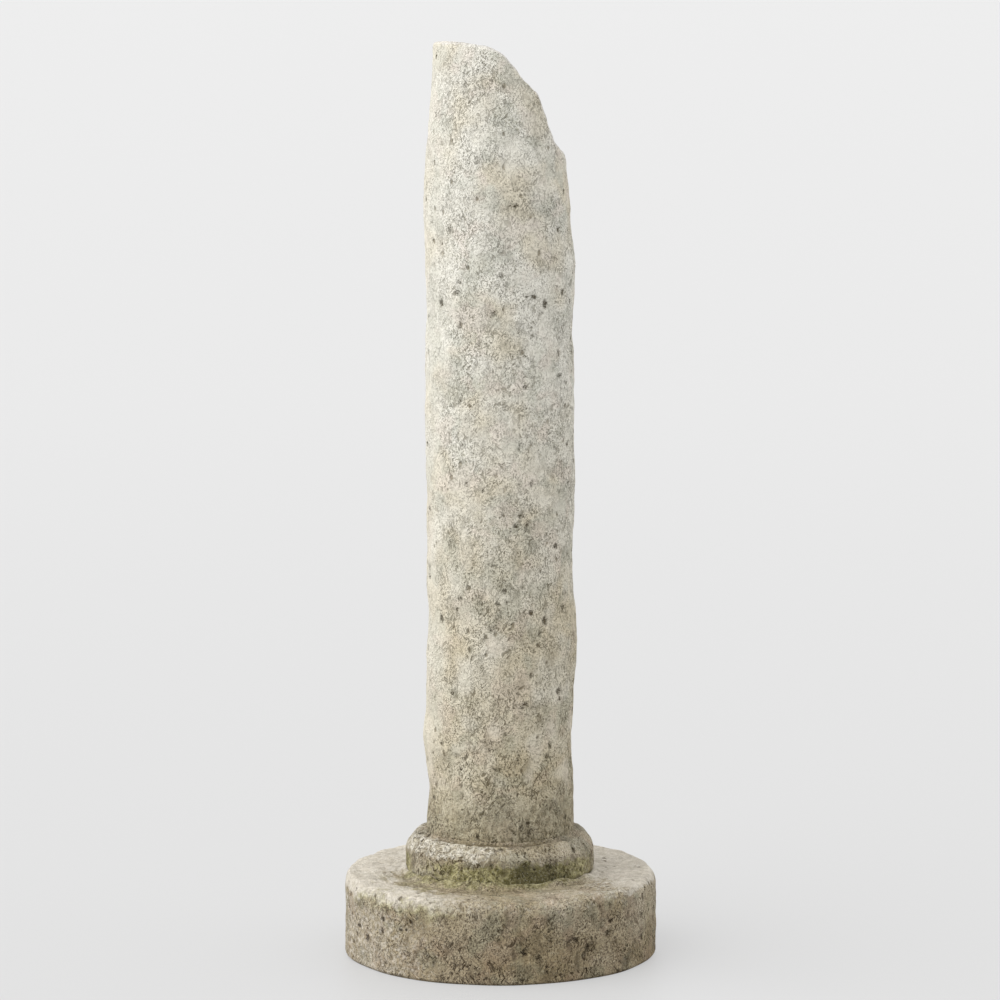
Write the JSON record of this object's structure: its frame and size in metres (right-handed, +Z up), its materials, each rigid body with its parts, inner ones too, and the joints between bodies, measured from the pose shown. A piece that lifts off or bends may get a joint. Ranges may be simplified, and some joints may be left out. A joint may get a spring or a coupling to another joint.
{
  "type": "broken stone column",
  "caption": "Weathered plain round stone shaft, broken off slantwise at the top, on a convex base ring and a low round plinth; stands by its own weight.",
  "frame": {"origin": "middle of the plinth's underside", "axes": "+Z up along the shaft, +X to the right of a viewer in front, +Y to the back; the break falls towards +X and +Y"},
  "size_m": [0.7683, 0.7703, 2.2335],
  "materials": {
    "shaft_stone": "rough weathered limestone, cream grey with fine dark wrinkles and pits",
    "torus_stone": "rough weathered limestone with olive moss on its lower half",
    "plinth_stone": "rough weathered limestone, browner, darker towards the ground"
  },
  "bodies": {
    "root": {"plinth": "plinth_stone", "torus": "torus_stone", "shaft": "shaft_stone"}
  },
  "joints": []
}
